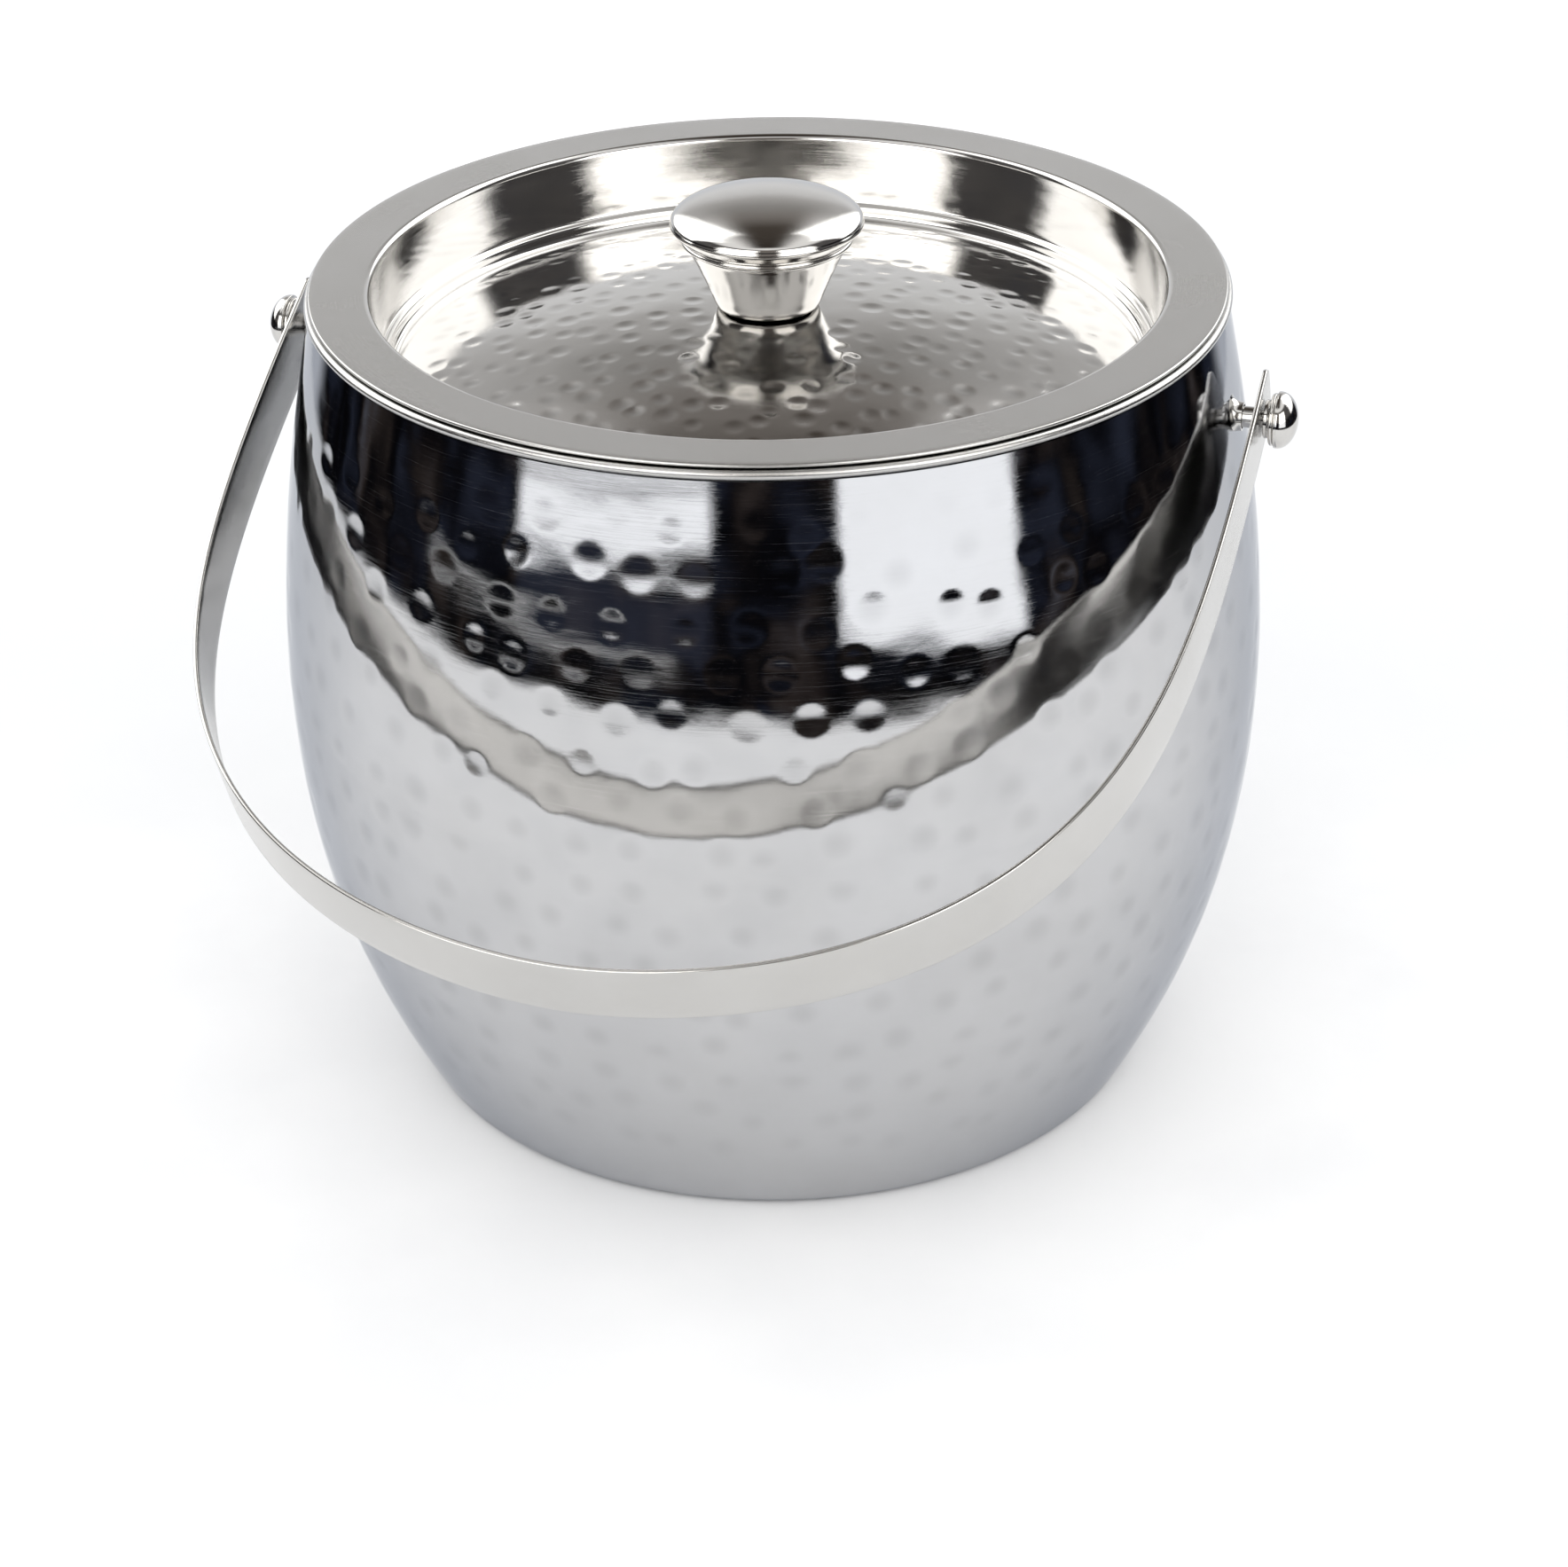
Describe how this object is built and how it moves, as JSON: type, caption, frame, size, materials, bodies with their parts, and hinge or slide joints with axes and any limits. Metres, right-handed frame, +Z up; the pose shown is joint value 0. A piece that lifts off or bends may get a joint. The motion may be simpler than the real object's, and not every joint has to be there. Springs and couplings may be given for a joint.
{
  "type": "ice bucket",
  "caption": "Double-walled hammered steel ice bucket with a lift-off lid, a turned knob and a swinging strap handle.",
  "frame": {"origin": "centre of the flat underside that the bucket stands on", "axes": "+Z up through the knob, X along the handle's pivot axis, -Y to the front, where the handle hangs"},
  "size_m": [0.2022, 0.2287, 0.1765],
  "materials": {
    "hammered_steel": "mirror polished with small round hammered dimples",
    "polished_steel": "mirror polished, with a hammered lid floor",
    "satin_steel": "fine satin",
    "turned_steel": "turned and polished",
    "plain_steel": "plain mill finish"
  },
  "bodies": {
    "bucket": {"outer_shell": "hammered_steel", "inner_liner": "polished_steel", "base_plate": "plain_steel", "pivot_stud_right": "turned_steel", "pivot_stud_left": "turned_steel", "stud_collar_right": "turned_steel", "stud_collar_left": "turned_steel", "backing_washer_right": "turned_steel", "backing_washer_left": "turned_steel", "lock_nut_right": "turned_steel", "lock_nut_left": "turned_steel", "outer_washer_right": "turned_steel", "outer_washer_left": "turned_steel", "cap_nut_right": "turned_steel", "cap_nut_left": "turned_steel"},
    "lid": {"lid_pan": "polished_steel", "lid_underside": "satin_steel", "knob_stem": "turned_steel", "knob_cap": "turned_steel", "knob_washer": "plain_steel", "knob_screw": "plain_steel"},
    "handle": {"handle_strap": "satin_steel"}
  },
  "joints": [
    {"name": "lid_lift", "type": "slide", "parent": "bucket", "child": "lid", "axis": [0, 0, 1], "range_m": [0, 0.08]},
    {"name": "handle_swing", "type": "hinge", "parent": "bucket", "child": "handle", "pos_m": [0, 0, 0.1412], "axis": [-1, 0, 0], "range_deg": [-25, 254]}
  ]
}
